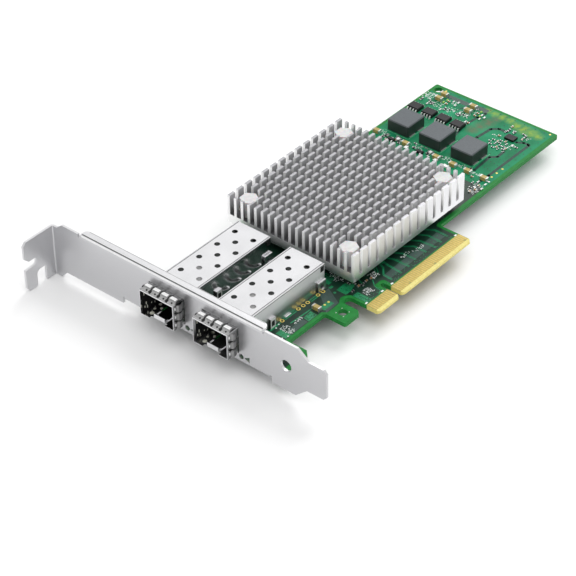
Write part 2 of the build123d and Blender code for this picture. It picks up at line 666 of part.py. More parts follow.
def heatsink():
    """An extrusion of straight fins, cross-cut into pins, with a pocket for each pillar."""
    x0, y0 = SINK_X - SINK_L / 2, SINK_Y - SINK_W / 2
    x1, y1 = x0 + SINK_L, y0 + SINK_W
    sink = block((x0, x1), (y0, y1), (SINK_Z, SINK_TOP_Z))
    channels = [block((x0 - 1, x1 + 1),
                      (y0 + i * FIN_PITCH + FIN_T, y0 + (i + 1) * FIN_PITCH),
                      (SINK_Z + CHANNEL_BASE_T, SINK_TOP_Z + 1)) for i in range(FIN_COUNT - 1)]
    cuts = [block((x0 + i * PIN_PITCH + PIN_L, x0 + (i + 1) * PIN_PITCH), (y0 - 1, y1 + 1),
                  (SINK_Z + CROSS_BASE_T, SINK_TOP_Z + 1)) for i in range(PIN_COUNT - 1)]
    sink = sink - channels - cuts
    for at in PILLARS:
        sink -= Pos(at[0], at[1], POCKET_Z) * Box(POCKET_L, POCKET_W, SINK_TOP_Z, align=ON)
        sink -= round_bar(at, SHANK_R + SHANK_CLEARANCE, SINK_Z, POCKET_Z)
    return sink


def hexagon(at, z0, z1):
    """A hexagonal bar with two flats across Y."""
    face = RegularPolygon(PILLAR_FLATS / 2, 6, major_radius=False)
    return prism_z(Pos(at[0], at[1]) * face, z0, z1)


def heatsink_pillars():
    head_z = SINK_TOP_Z - PILLAR_BELOW_PINS
    tip_z = SOLDER_Z - NUT_H - NUT_TIP
    return group([hexagon(at, POCKET_Z, head_z) + round_bar(at, SHANK_R, tip_z, POCKET_Z)
                  for at in PILLARS])


def heatsink_nuts():
    return group([hexagon(at, SOLDER_Z - NUT_H, SOLDER_Z)
                  - round_bar(at, SHANK_R + THREAD_CLEARANCE, SOLDER_Z - NUT_H, SOLDER_Z)
                  for at in PILLARS])


def controller_chip():
    chip = Pos(SINK_X, SINK_Y, 0) * Box(CHIP_SIZE, CHIP_SIZE, CHIP_SUBSTRATE_T, align=ON)
    return chip + Pos(SINK_X, SINK_Y, CHIP_SUBSTRATE_T) * Box(LID_SIZE, LID_SIZE, LID_T, align=ON)


def thermal_pad():
    return Pos(SINK_X, SINK_Y, CHIP_H) * Box(PAD_SIZE, PAD_SIZE, PAD_T, align=ON)


# Power stage

def inductor_centres():
    return [(INDUCTOR_X, INDUCTOR_Y + i * INDUCTOR_PITCH) for i in range(INDUCTOR_COUNT)]


def power_inductors():
    bodies = []
    for x, y in inductor_centres():
        body = Pos(x, y, TERMINAL[2]) * Box(*INDUCTOR, align=ON)
        edges = body.edges().filter_by(Axis.Z) + body.faces().sort_by(Axis.Z)[-1].edges()
        bodies.append(chamfer(edges, INDUCTOR_EDGE))
    return group(bodies)


def inductor_terminals():
    pads = []
    for x, y in inductor_centres():
        for side in (-1, 1):
            pads.append(Pos(x + side * (INDUCTOR[0] / 2 - TERMINAL_INSET - TERMINAL[0] / 2), y, 0)
                        * Box(*TERMINAL, align=ON))
    return group(pads)


def so8_centres():
    return [(SO8_X, SO8_Y + i * SO8_PITCH) for i in range(SO8_COUNT)]


def moulded_body(at, size):
    """A small package body that stands a little off the board, with its top edges drawn in."""
    body = Pos(at[0], at[1], SO8_STANDOFF) * Box(*size, align=ON)
    return chamfer(body.faces().sort_by(Axis.Z)[-1].edges(), size[2] * BODY_DRAW)


def gull_lead(x, y, side, height):
    """A lead that leaves the body at mid height and slopes down to its foot."""
    z = SO8_STANDOFF + height / 2
    out = LEAD_REACH - LEAD_FOOT
    points = [(0, z), (0, z + LEAD_T), (out, z + LEAD_T), (LEAD_REACH, 0), (out - LEAD_T, 0),
              (out - LEAD_T, z)]
    face = outline(*[(x + side * px, pz) for px, pz in points])
    return prism_y(face, y - LEAD_W / 2, y + LEAD_W / 2)


def power_transistors():
    return group([moulded_body(at, SO8_BODY) for at in so8_centres()])


def transistor_leads():
    leads = []
    for x, y in so8_centres():
        for side in (-1, 1):
            for i in range(SIDE_LEAD_COUNT):
                at = y + (i - (SIDE_LEAD_COUNT - 1) / 2) * LEAD_PITCH
                leads.append(gull_lead(x + side * SO8_BODY[0] / 2, at, side, SO8_BODY[2]))
    return group(leads)


def small_transistors():
    return group([moulded_body((SOT_X, y), SOT_BODY) for y in SOT_YS])


def small_transistor_leads():
    leads = []
    for y in SOT_YS:
        for side, offset in ((-1, -SOT_LEAD_PITCH), (-1, SOT_LEAD_PITCH), (1, 0)):
            leads.append(gull_lead(SOT_X + side * SOT_BODY[0] / 2, y + offset, side, SOT_BODY[2]))
    return group(leads)


def regulator_chip():
    return Pos(REGULATOR_X, REGULATOR_Y, 0) * Box(*REGULATOR, align=ON)


# Ceramic capacitors and small chip parts

def ceramic_places():
    places = [(BOARD_X1 - END_TO_INPUT_CERAMIC, y) for y in INPUT_CERAMIC_YS]
    places += [(BOARD_X1 - end, y) for end in END_TO_OUTPUT_CERAMIC for y in OUTPUT_CERAMIC_YS]
    return places + [(TAB_X0, BOARD_NEAR_Y + FRONT_CERAMIC_FROM_EDGE)]


def ceramic_capacitors():
    w, length, h = CERAMIC
    return group([Pos(x, y, 0) * Box(w, length - 2 * CERAMIC_END, h, align=ON)
                  for x, y in ceramic_places()])


def capacitor_ends():
    w, length, h = CERAMIC
    offset = (length - CERAMIC_END) / 2
    return group([Pos(x, y + side * offset, 0) * Box(w, CERAMIC_END, h, align=ON)
                  for x, y in ceramic_places() for side in (-1, 1)])


def chip_part_places():
    """Centre and turn of each of the larger small parts."""
    places = [(BOARD_X1 - END_TO_INPUT_PART, y, 90) for y in INPUT_PART_YS]
    places += [(SO8_X + SO8_TO_PART, y, 0) for y in SO8_PART_YS]
    return places + [(REGULATOR_X + REGULATOR_TO_PART, y, 0) for y in REGULATOR_PART_YS]


def chip_parts():
    length, w, h = CHIP_PART
    return group([Pos(x, y, 0) * Rot(0, 0, turn) * Box(length - 2 * CHIP_END, w, h, align=ON)
                  for x, y, turn in chip_part_places()])


def chip_part_ends():
    length, w, h = CHIP_PART
    offset = (length - CHIP_END) / 2
    return group([Pos(x, y, 0) * Rot(0, 0, turn) * Pos(side * offset, 0, 0)
                  * Box(CHIP_END, w, h, align=ON)
                  for x, y, turn in chip_part_places() for side in (-1, 1)])


def all_parts():
    parts = {
        "circuit_board": circuit_board(),
        "edge_contacts": edge_contacts(),
        "bracket": bracket(),
        "bracket_screws": bracket_screws(),
        "heatsink": heatsink(),
        "heatsink_pillars": heatsink_pillars(),
        "heatsink_nuts": heatsink_nuts(),
        "controller_chip": controller_chip(),
        "thermal_pad": thermal_pad(),
        "power_inductors": power_inductors(),
        "inductor_terminals": inductor_terminals(),
        "power_transistors": power_transistors(),
        "transistor_leads": transistor_leads(),
        "small_transistors": small_transistors(),
        "small_transistor_leads": small_transistor_leads(),
        "regulator_chip": regulator_chip(),
        "ceramic_capacitors": ceramic_capacitors(),
        "capacitor_ends": capacitor_ends(),
        "chip_parts": chip_parts(),
        "chip_part_ends": chip_part_ends(),
        "port_lights": port_lights(),
    }
    for number, y in enumerate(PORT_YS, 1):
        parts[f"cage_base_{number}"] = cage_base(y)
        parts[f"cage_cover_{number}"] = cage_cover(y)
        parts[f"emi_collar_{number}"] = emi_collar(y)
        parts[f"port_connector_{number}"] = port_connector(y)
        parts[f"port_contacts_{number}"] = port_contacts(y)
    return parts


os.makedirs("parts", exist_ok=True)
for name, shape in all_parts().items():
    export_step(shape, f"parts/{name}.step")
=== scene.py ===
import math
import random

import bmesh
import bpy
from mathutils import Matrix, Vector


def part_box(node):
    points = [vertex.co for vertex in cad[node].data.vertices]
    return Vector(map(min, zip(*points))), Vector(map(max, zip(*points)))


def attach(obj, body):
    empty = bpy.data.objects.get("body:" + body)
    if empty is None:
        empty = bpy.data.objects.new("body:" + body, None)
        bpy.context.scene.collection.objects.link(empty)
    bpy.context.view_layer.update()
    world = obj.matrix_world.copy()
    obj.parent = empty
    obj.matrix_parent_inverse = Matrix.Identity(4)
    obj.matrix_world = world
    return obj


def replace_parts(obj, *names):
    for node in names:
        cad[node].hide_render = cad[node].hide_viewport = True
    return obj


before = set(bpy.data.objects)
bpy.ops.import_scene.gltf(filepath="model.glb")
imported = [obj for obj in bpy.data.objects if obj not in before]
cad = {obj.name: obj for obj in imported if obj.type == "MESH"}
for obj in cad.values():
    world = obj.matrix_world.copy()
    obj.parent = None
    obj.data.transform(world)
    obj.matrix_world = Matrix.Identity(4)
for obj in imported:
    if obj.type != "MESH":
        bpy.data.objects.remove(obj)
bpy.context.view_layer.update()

# Distances below are in millimetres. Places on the board are counted from the bracket's outer
# face along X, because that is where they were measured.
MM = 0.001
SCREW_X, SCREW_HEAD_R = 7.3, 2.4
FACE_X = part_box("bracket_screws")[0].x / MM + SCREW_HEAD_R - SCREW_X
BOARD_T = 1.57
# Rings, vias and ticks start above every printed layer of the board
PRINT_Z, RING_Z = 0.036, 0.05
SOLDER_SIDE_Z = -BOARD_T - 0.02
chance = random.Random(7)


def row(x, y, z):
    """A point measured from the bracket's face, as metres in the frame."""
    return ((x + FACE_X) * MM, y * MM, z * MM)


# Materials

def linear(hexcode):
    """A display colour such as 2f8f45 as linear values."""
    values = [int(hexcode[i:i + 2], 16) / 255 for i in (0, 2, 4)]
    return [v / 12.92 if v <= 0.04045 else ((v + 0.055) / 1.055) ** 2.4 for v in values] + [1.0]


def new_node(tree, kind, values=None):
    """A shader node with the values of some of its inputs."""
    made = tree.nodes.new("ShaderNode" + kind)
    for key, value in (values or {}).items():
        made.inputs[key].default_value = value
    return made


def ranged(tree, source, low, high, to_low=0.0, to_high=1.0):
    """A value carried from one range to another and held at the ends."""
    made = new_node(tree, "MapRange", {"From Min": low, "From Max": high, "To Min": to_low,
                                       "To Max": to_high})
    tree.links.new(source, made.inputs["Value"])
    return made.outputs["Result"]


def reckoned(tree, operation, first, second=None):
    """The result of a Math node on one or two values."""
    made = new_node(tree, "Math")
    made.operation = operation
    tree.links.new(first, made.inputs[0])
    if second:
        tree.links.new(second, made.inputs[1])
    return made.outputs[0]


def mixed(tree, share, first, second):
    """Two colours mixed by a share; each is a fixed colour or another node's output."""
    made = new_node(tree, "Mix")
    made.data_type = "RGBA"
    tree.links.new(share, made.inputs[0])
    for key, colour in ((6, first), (7, second)):
        if isinstance(colour, list):
            made.inputs[key].default_value = colour
        else:
            tree.links.new(colour, made.inputs[key])
    return made.outputs[2]


def places_of(tree):
    """Each point's place in the frame, and its X, Y and Z."""
    place = new_node(tree, "TexCoord").outputs["Object"]
    split = new_node(tree, "SeparateXYZ")
    tree.links.new(place, split.inputs["Vector"])
    return place, split.outputs


def finish_of(name, dark, light, rough, metal=0.0, scale=700.0, stretch=(1, 1, 1), bump=0.0,
              spread=0.06, soft=0.0, detail=3.0, sides=None, ends=None, shine=0.5, pale_above=None):
    """A material whose colour and roughness vary with a fine noise in the frame's own space.

    sides and ends give upright faces other colours than the tops, along X and Y or along X alone:
    painted light and shade by the way a face is turned. pale_above takes the metal down to a value
    between two heights.
    """
    made = bpy.data.materials.new(name)
    made.use_nodes = True
    tree = made.node_tree
    link = tree.links.new
    shader = tree.nodes["Principled BSDF"]
    place, axes = places_of(tree)
    stretched = new_node(tree, "Mapping", {"Scale": stretch})
    noise = new_node(tree, "TexNoise", {"Scale": scale, "Detail": detail})
    ramp = new_node(tree, "ValToRGB")
    for element, position, colour in zip(ramp.color_ramp.elements, (0.3, 0.7), (dark, light)):
        element.position = position
        element.color = linear(colour)
    link(place, stretched.inputs["Vector"])
    link(stretched.outputs["Vector"], noise.inputs["Vector"])
    link(noise.outputs["Fac"], ramp.inputs["Fac"])
    colour = ramp.outputs["Color"]
    if sides:
        facing = new_node(tree, "NewGeometry")
        normal = new_node(tree, "SeparateXYZ")
        link(facing.outputs["Normal"], normal.inputs["Vector"])
        upright = linear(sides)
        if ends:
            along = reckoned(tree, "ABSOLUTE", normal.outputs["X"])
            upright = mixed(tree, along, upright, linear(ends))
        colour = mixed(tree, normal.outputs["Z"], upright, colour)
    link(colour, shader.inputs["Base Color"])
    least, most = max(0.02, rough - spread), min(1.0, rough + spread)
    link(ranged(tree, noise.outputs["Fac"], 0.0, 1.0, least, most), shader.inputs["Roughness"])
    shader.inputs["Metallic"].default_value = metal
    if pale_above:
        low, high, metal_above = pale_above
        link(ranged(tree, axes["Z"], low * MM, high * MM, metal, metal_above), shader.inputs["Metallic"])
    shader.inputs["Specular IOR Level"].default_value = shine
    if soft:
        shader.inputs["Subsurface Weight"].default_value = soft
        shader.inputs["Subsurface Scale"].default_value = 0.002
    if bump:
        raised = new_node(tree, "Bump", {"Strength": bump, "Distance": 0.0002})
        link(noise.outputs["Fac"], raised.inputs["Height"])
        link(raised.outputs["Normal"], shader.inputs["Normal"])
    return made


def stained(made, colour, spots, strength):
    """Soft blotches of another colour in a material, round places on the board."""
    tree = made.node_tree
    base = tree.nodes["Principled BSDF"].inputs["Base Color"]
    place = places_of(tree)[0]
    total = None
    for x, y, radius in spots:
        away = new_node(tree, "VectorMath")
        away.operation = "DISTANCE"
        away.inputs[1].default_value = row(x, y, 0)
        tree.links.new(place, away.inputs[0])
        near = new_node(tree, "MapRange", {"From Max": radius * MM, "To Min": strength, "To Max": 0.0})
        near.interpolation_type = "SMOOTHSTEP"
        tree.links.new(away.outputs["Value"], near.inputs["Value"])
        spot = near.outputs["Result"]
        total = reckoned(tree, "MAXIMUM", total, spot) if total else spot
    noise = new_node(tree, "TexNoise", {"Scale": 650})
    tree.links.new(place, noise.inputs["Vector"])
    mottle = ranged(tree, noise.outputs["Fac"], 0.35, 0.6, 0.45)
    weight = reckoned(tree, "MULTIPLY", total, mottle)
    tree.links.new(mixed(tree, weight, base.links[0].from_socket, linear(colour)), base)


def shaded_inside(made, low, high, least, near_y, left_x, outer_light):
    """Painted shade and light on the heatsink: its colour scaled down towards the floor of its channels,
    and scaled up most on its near and left faces.
    """
    tree = made.node_tree
    base = tree.nodes["Principled BSDF"].inputs["Base Color"]
    axes = places_of(tree)[1]
    near_fade, left_fade, left_share = (0.2, 2.2), (0.16, 0.3), 0.45
    from_near = ranged(tree, axes["Y"], *((near_y + depth) * MM for depth in near_fade))
    from_left = ranged(tree, axes["X"], *((left_x + depth) * MM for depth in left_fade), left_share)
    light = new_node(tree, "Mix")
    light.inputs[2].default_value = outer_light
    tree.links.new(reckoned(tree, "MINIMUM", from_near, from_left), light.inputs[0])
    tree.links.new(ranged(tree, axes["Z"], low * MM, high * MM, least), light.inputs[3])
    darker = new_node(tree, "VectorMath")
    darker.operation = "SCALE"
    tree.links.new(base.links[0].from_socket, darker.inputs[0])
    tree.links.new(light.outputs[0], darker.inputs["Scale"])
    tree.links.new(darker.outputs["Vector"], base)


mask_green = finish_of("mask_green", "12722a", "1f8238", 0.45, scale=500, shine=0.2)
mask_dark = finish_of("mask_dark", "0b241a", "173a2b", 0.32, scale=160, shine=0.4)
mask_grey = finish_of("mask_grey", "2c443d", "3c544d", 0.3, scale=160)
mask_pour = finish_of("mask_pour", "107048", "229266", 0.42, scale=120, detail=6.0, shine=0.14)
BROWN_SPOTS = ((152.0, 39.8, 4.0), (155.6, 38.9, 4.4), (159.4, 38.0, 4.2), (162.8, 37.2, 3.2))
YELLOW_SPOTS = ((165.6, 43.0, 3.0), (165.6, 39.5, 3.0), (165.6, 36.0, 3.0), (165.4, 32.5, 3.0),
                (164.2, 28.5, 3.8), (163.6, 25.0, 4.4), (163.4, 21.5, 4.2), (163.2, 18.5, 3.2))
stained(mask_pour, "6c6450", BROWN_SPOTS, 0.8)
stained(mask_pour, "9cb43c", YELLOW_SPOTS, 0.7)
mask_patch = finish_of("mask_patch", "0f6b40", "25935f", 0.36, scale=1800, shine=0.4)
mask_trace = finish_of("mask_trace", "177c4e", "2c9a68", 0.34, scale=600, shine=0.3)
mask_gap = finish_of("mask_gap", "0d332a", "164438", 0.36, scale=600, shine=0.3)
mask_edge = finish_of("mask_edge", "3f9c68", "62b488", 0.36, scale=600, shine=0.3)
laminate = finish_of("laminate", "d6c86a", "e4d884", 0.5, scale=900)
laminate_gap = finish_of("laminate_gap", "8c8646", "9c9652", 0.5, scale=900)
gold = finish_of("gold", "b29a4e", "c7b069", 0.34, metal=0.7, scale=1200)
gold_ring = finish_of("gold_ring", "dcc050", "f6e480", 0.36, metal=0.2, scale=1500)
# steel: the top faces lighter than the upright ones: painted light.
steel = finish_of("steel", "dededf", "e8e8ea", 0.34, metal=0.9, scale=2600, bump=0.04, spread=0.03,
                  sides="cdcdcf")
zinc = finish_of("zinc", "b6b6b8", "cccccf", 0.28, metal=1.0, scale=1500)
cage_top = finish_of("cage_top", "e8e8ea", "f2f2f4", 0.16, metal=0.85, scale=90, spread=0.02)
cage_wall = finish_of("cage_wall", "e8e8ea", "f2f2f4", 0.16, metal=1.0, scale=90, spread=0.02)
# cage_wall_pale: a copy of the cage wall for the near cage alone, its metal taken down above 3 mm so the
# upper wall looks paler: painted light.
cage_wall_pale = finish_of("cage_wall_pale", "d8d8da", "e4e4e5", 0.3, metal=1.0, scale=90, spread=0.03,
                           pale_above=(3.0, 6.8, 0.2))
spring = finish_of("spring", "a4a4a4", "bababa", 0.25, metal=1.0, scale=900)
# painted_cage_shade: dark sheets inside the cages, painted shade.
painted_cage_shade = finish_of("painted_cage_shade", "101012", "1c1c1e", 0.4, metal=0.2, scale=200)
# painted_highlight: near white, painted highlights on the collars' crests and dimples, the ears and the
# flange's fold.
painted_highlight = finish_of("painted_highlight", "f0f0f0", "fcfcfc", 0.4, metal=0.2, scale=900)
# seam_and_shade_grey: the dark of the cages' seams, and painted shade along the bracket's fold.
seam_and_shade_grey = finish_of("seam_and_shade_grey", "343636", "4a4c4c", 0.5, metal=0.3, scale=900)
# glint: pale plates for painted glints and sheen inside the cages.
glint = finish_of("glint", "d8dac8", "f4f4e8", 0.5, scale=900)
lead_bright = finish_of("lead_bright", "d4d8d4", "ecf0ec", 0.36, metal=0.3, scale=1600)
# spring_painted_shade: the spring metal made darker, painted shade; it also gives the grey painted into
# two vents.
spring_painted_shade = finish_of("spring_painted_shade", "808080", "969696", 0.3, metal=1.0, scale=900)
# aluminium: upright faces painted lighter than the tops, and those turned along X near white: painted
# light. Its metal is taken down towards the top.
aluminium = finish_of("aluminium", "a8a8ab", "bcbcbf", 0.32, metal=1.0, scale=1500,
                      stretch=(1, 1, 0.12), spread=0.05, sides="c6c6c8", ends="ffffff",
                      pale_above=(4.0, 10.0, 0.35))
sink_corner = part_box("heatsink")[0]
shaded_inside(aluminium, 4.6, 13.8, 0.2, sink_corner.y / MM, sink_corner.x / MM, 1.55)
nylon = finish_of("nylon", "cacaca", "dadada", 0.5, scale=700, soft=0.3, shine=0.3)
# ferrite_top: the upright sides are given a darker, greener colour than the top: painted shade.
ferrite_top = finish_of("ferrite_top", "4c5256", "5a6064", 0.45, scale=2600, spread=0.08,
                        sides="28322f")
package = finish_of("package", "0e0e10", "1a1a1d", 0.42, scale=1800, shine=0.36)
socket_black = finish_of("socket_black", "0e0e10", "1a1a1c", 0.4, scale=1200)
tin = finish_of("tin", "b8bab8", "e0e2e0", 0.3, metal=0.8, scale=1600)
ceramic = finish_of("ceramic", "98864a", "c0ac6a", 0.4, scale=900)
ceramic_small = finish_of("ceramic_small", "86592c", "b88748", 0.42, scale=1200)
resistor = finish_of("resistor", "0c0e10", "1e2224", 0.35, scale=1500)
pad_foam = finish_of("pad_foam", "6f7780", "7f8790", 0.7, scale=900)
pad_bright = finish_of("pad_bright", "fafafa", "ffffff", 0.4, scale=900)
silk = finish_of("silk", "dfe6e2", "f6f9f7", 0.6, scale=900)
# painted_shade: near black, painted shade in holes, slits, windows and under the cages' roofs.
painted_shade = finish_of("painted_shade", "050807", "0c120f", 0.7, scale=900)
lens = finish_of("lens", "b4c290", "d6dfb4", 0.25, scale=900, soft=0.2)
lamp_green = finish_of("lamp_green", "6fae3a", "a8cf58", 0.35, scale=900)

for node, material in {
    "circuit_board": mask_green, "edge_contacts": gold, "bracket": steel, "bracket_screws": zinc,
    "heatsink": aluminium, "heatsink_pillars": nylon, "heatsink_nuts": nylon,
    "controller_chip": package, "thermal_pad": pad_foam, "power_inductors": ferrite_top,
    "inductor_terminals": tin, "power_transistors": package, "transistor_leads": lead_bright,
    "small_transistors": package, "small_transistor_leads": lead_bright, "regulator_chip": package,
    "ceramic_capacitors": ceramic, "capacitor_ends": tin, "chip_parts": resistor,
    "chip_part_ends": tin, "port_lights": lens,
    "cage_base_1": cage_wall_pale, "cage_base_2": cage_wall, "cage_cover_1": cage_top,
    "cage_cover_2": cage_top, "emi_collar_1": spring, "emi_collar_2": spring,
    "port_connector_1": socket_black, "port_connector_2": socket_black,
    "port_contacts_1": gold, "port_contacts_2": gold,
}.items():
    cad[node].data.materials.clear()
    cad[node].data.materials.append(material)


def soften(node, width, segments=2):
    """A fine bevel that catches the light on a CAD node's edges."""
    bevel = cad[node].modifiers.new("edges", "BEVEL")
    bevel.width = width * MM
    bevel.segments = segments
    bevel.limit_method = "ANGLE"
    bevel.angle_limit = math.radians(40)


soften("bracket", 0.12)
soften("heatsink", 0.14)
soften("heatsink_pillars", 0.5, 3)
soften("heatsink_nuts", 0.3)
soften("power_inductors", 0.12)
soften("circuit_board", 0.08, 1)
soften("ceramic_capacitors", 0.08, 1)
soften("capacitor_ends", 0.12)
soften("power_transistors", 0.08, 1)


# Builders of added pieces

def piece(name, verts, faces, material, slot):
    """A closed mesh of its own, carried by the part's one body."""
    mesh = bpy.data.meshes.new(name)
    mesh.from_pydata(verts, [], faces)
    mesh.validate()
    shell = bmesh.new()
    shell.from_mesh(mesh)
    bmesh.ops.recalc_face_normals(shell, faces=shell.faces)
    shell.to_mesh(mesh)
    shell.free()
    mesh.materials.append(material)
    made = bpy.data.objects.new(name, mesh)
    bpy.context.scene.collection.objects.link(made)
    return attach(made, "root")


def around(n):
    """Neighbours on a closed ring of n points."""
    return [(i, (i + 1) % n) for i in range(n)]


def plates(name, outlines, z0, z1, material, slot):
    """Flat closed plates between two heights, one for each outline given anticlockwise."""
    verts, faces = [], []
    for points in outlines:
        n, base = len(points), len(verts)
        verts += [row(x, y, z0) for x, y in points] + [row(x, y, z1) for x, y in points]
        faces.append([base + i for i in reversed(range(n))])
        faces.append([base + n + i for i in range(n)])
        faces += [[base + i, base + j, base + n + j, base + n + i] for i, j in around(n)]
    return piece(name, verts, faces, material, slot)


def bar(x0, y0, x1, y1):
    """The outline of a rectangle between two corners."""
    return [(x0, y0), (x1, y0), (x1, y1), (x0, y1)]


def disc(x, y, radius, sides=14):
    """The outline of a round plate."""
    turns = [2 * math.pi * i / sides for i in range(sides)]
    return [(x + radius * math.cos(t), y + radius * math.sin(t)) for t in turns]


def track(points, width):
    """The outlines of a run of straight tracks with round joints."""
    shapes = []
    for (ax, ay), (bx, by) in zip(points, points[1:]):
        run = math.hypot(bx - ax, by - ay)
        nx, ny = -(by - ay) / run * width / 2, (bx - ax) / run * width / 2
        shapes.append([(ax - nx, ay - ny), (bx - nx, by - ny), (bx + nx, by + ny), (ax + nx, ay + ny)])
    return shapes + [disc(x, y, width / 2, 8) for x, y in points]


def turned_bar(x, y, length, width, turn):
    """The outline of a rectangle round its middle, turned by some degrees."""
    c, s = math.cos(math.radians(turn)), math.sin(math.radians(turn))
    corners = [(-length / 2, -width / 2), (length / 2, -width / 2), (length / 2, width / 2),
               (-length / 2, width / 2)]
    return [(x + a * c - b * s, y + a * s + b * c) for a, b in corners]


# Solder mask: the border of the board stays bright, the copper inside it shows darker or lighter

FRONT_POUR = [
    (2.9, 5.6), (13.2, 5.6), (13.2, 13.9), (14.2, 14.7), (33.0, 14.7), (34.4, 13.0), (40.6, 13.2),
    (41.8, 14.2), (43.2, 14.7), (44.8, 14.3), (46.3, 12.8), (46.3, 6.0), (55.0, 6.0),
    (55.0, 9.3), (55.8, 10.1), (59.0, 10.1), (59.8, 9.3), (59.8, 6.0), (95.4, 6.0), (95.4, 13.9),
    (96.4, 14.8), (124.0, 14.8), (124.0, 67.6), (2.9, 67.6)]
HOLE_X, HOLE_Y, HOLE_MARGIN = 165.7, 66.0, 2.4
HOLE_EDGE = [(HOLE_X + HOLE_MARGIN * math.cos(t), HOLE_Y + HOLE_MARGIN * math.sin(t))
             for t in (math.radians(a) for a in range(-45, -226, -20))]
REAR_POUR = [(124.0, 14.8), (167.4, 14.8)] + HOLE_EDGE + [(124.0, 67.6)]
plates("front_copper", [FRONT_POUR], 0.0, 0.02, mask_dark, "board_laminate")
plates("rear_copper", [REAR_POUR], 0.0, 0.02, mask_pour, "board_laminate")
for name, pour, material in (("front", FRONT_POUR, mask_dark), ("rear", REAR_POUR, mask_pour)):
    plates("solder_side_" + name, [pour], SOLDER_SIDE_Z, -BOARD_T - 0.004, material, "board_laminate")
plates("copper_patches", [
    [(45.4, 14.3), (47.8, 14.2), (52.0, 15.5), (50.0, 18.5), (45.4, 18.4)], bar(46.4, 6.2, 49.0, 12.2),
    [(26.6, 14.9), (31.0, 15.0), (31.1, 17.8), (27.0, 17.4)], bar(34.4, 14.5, 39.4, 16.9),
    bar(14.9, 14.9, 17.6, 19.2), bar(44.6, 20.2, 46.2, 21.2), bar(46.0, 22.2, 47.6, 24.6),
    disc(43.9, 17.9, 0.5), bar(66.5, 15.2, 68.0, 16.4)], 0.004, 0.028, mask_patch, "board_laminate")
plates("grey_copper", [
    [(61.3, 8.2), (92.2, 8.3), (92.6, 11.9), (61.3, 11.1)],
    [(33.8, 13.3), (40.4, 13.4), (44.5, 21.0), (40.0, 21.0)],
    bar(17.8, 15.0, 26.2, 17.2), bar(163.2, 51.0, 165.6, 60.3), bar(163.6, 42.4, 166.2, 48.0)],
    0.006, 0.024, mask_grey, "board_laminate")

# Tracks

fan = []
for run in (((66.0, 17.0), (64.7, 13.8), (61.7, 11.3), (61.4, 7.4)),
            ((67.7, 17.0), (66.8, 13.1), (66.3, 7.2)),
            ((69.3, 17.0), (70.7, 13.8), (70.8, 7.3)), ((73.0, 17.0), (75.2, 13.6), (75.3, 8.0)),
            ((77.4, 17.0), (80.9, 13.1), (80.9, 7.8)), ((82.2, 17.0), (84.7, 13.3), (85.1, 6.8)),
            ((86.4, 17.0), (88.9, 13.1), (88.7, 7.2)), ((90.4, 17.0), (92.9, 13.1), (92.8, 7.5))):
    for shift in (0.0, 0.5):
        fan += track([(x + shift, y) for x, y in run], 0.24)
fan += track([(64.4, 17.0), (62.3, 14.0), (60.6, 12.8)], 0.26)
fan += track([(63.4, 17.0), (61.3, 14.2), (59.4, 13.2)], 0.26)
fan += track([(57.4, 12.4), (55.2, 9.9), (54.5, 6.8), (52.9, 6.2)], 0.3)
fan += track([(54.9, 17.0), (53.6, 13.9)], 0.3)
for y in (21.45, 22.25):
    fan += track([(22.4, y), (28.3, y)], 0.42)
for y in (20.9, 21.75):
    fan += track([(35.2, y), (39.2, y)], 0.42)
fan += track([(14.6, 21.5), (20.0, 21.7)], 0.7) + track([(22.2, 18.9), (31.9, 18.4)], 0.42)
fan += track([(7.6, 24.4), (12.0, 24.0), (14.6, 21.6)], 0.5)
for i in range(5):
    fan += track([(46.6 + i * 0.9, 27.0), (46.6 + i * 0.9, 25.2), (48.4 + i * 0.9, 22.6)], 0.2)
plates("tracks", fan, 0.012, 0.033, mask_trace, "board_laminate")

gaps = track([(124.6, 18.4), (131.6, 18.0), (156.3, 17.8), (156.7, 18.4), (156.5, 20.2), (155.1, 22.6)],
             1.2)
gaps += track([(131.0, 24.0), (141.2, 24.6), (143.2, 22.4), (147.3, 22.6)], 1.2)
gaps += track([(148.6, 35.7), (156.4, 34.9), (158.4, 32.6), (158.4, 29.2)], 1.3)
gaps += track([(142.0, 42.4), (152.6, 44.1), (159.6, 43.3), (163.6, 42.4)], 1.2)
gaps += track([(155.6, 56.0), (158.6, 52.4), (163.6, 50.4)], 0.4)
gaps += track([(157.6, 64.6), (163.8, 58.4)], 0.4)
for i in range(5):
    gaps += track([(160.2, 51.2 + 0.8 * i), (163.2, 51.2 + 0.8 * i)], 0.16)
plates("copper_gaps", gaps, 0.014, 0.031, mask_gap, "board_laminate")

# Vias: gold rings along the cage, small gold and dark dots elsewhere

rings = [(21.3, 21.8), (29.5, 21.7), (31.9, 21.6), (34.1, 21.5), (39.4, 21.4), (41.9, 21.3)]
plates("via_rings", [disc(x, y, 0.78) for x, y in rings], PRINT_Z, RING_Z, gold_ring, "contact_gold")
# Dark discs inside the rings: painted shade for the via holes.
plates("via_holes", [disc(x, y, 0.45) for x, y in rings], RING_Z, RING_Z + 0.006, painted_shade,
       "board_laminate")
dots = [(166.7, 63.1), (167.0, 15.8), (138.0, 16.5), (134.6, 16.6), (131.5, 16.6), (36.7, 16.3),
        (38.7, 16.3)]
plates("gold_dots", [disc(x, y, 0.42) for x, y in dots], PRINT_Z, RING_Z, gold_ring, "contact_gold")
sunk = [(166.6, y) for y in (18.1, 22.1, 26.9, 31.2, 34.9, 37.8, 42.3, 45.9, 48.9, 53.3, 56.9, 60.7)]
sunk += [(x, 16.1) for x in (141.4, 145.7, 150.5, 154.9, 159.8, 163.6)]
sunk += [(142.5, 20.8), (142.4, 19.1), (142.1, 17.5), (139.1, 22.5), (139.1, 20.9), (138.8, 19.3),
         (134.8, 22.2), (134.8, 20.8), (134.5, 19.5), (146.1, 19.5), (150.4, 19.4), (161.4, 32.4),
         (163.9, 24.6)]
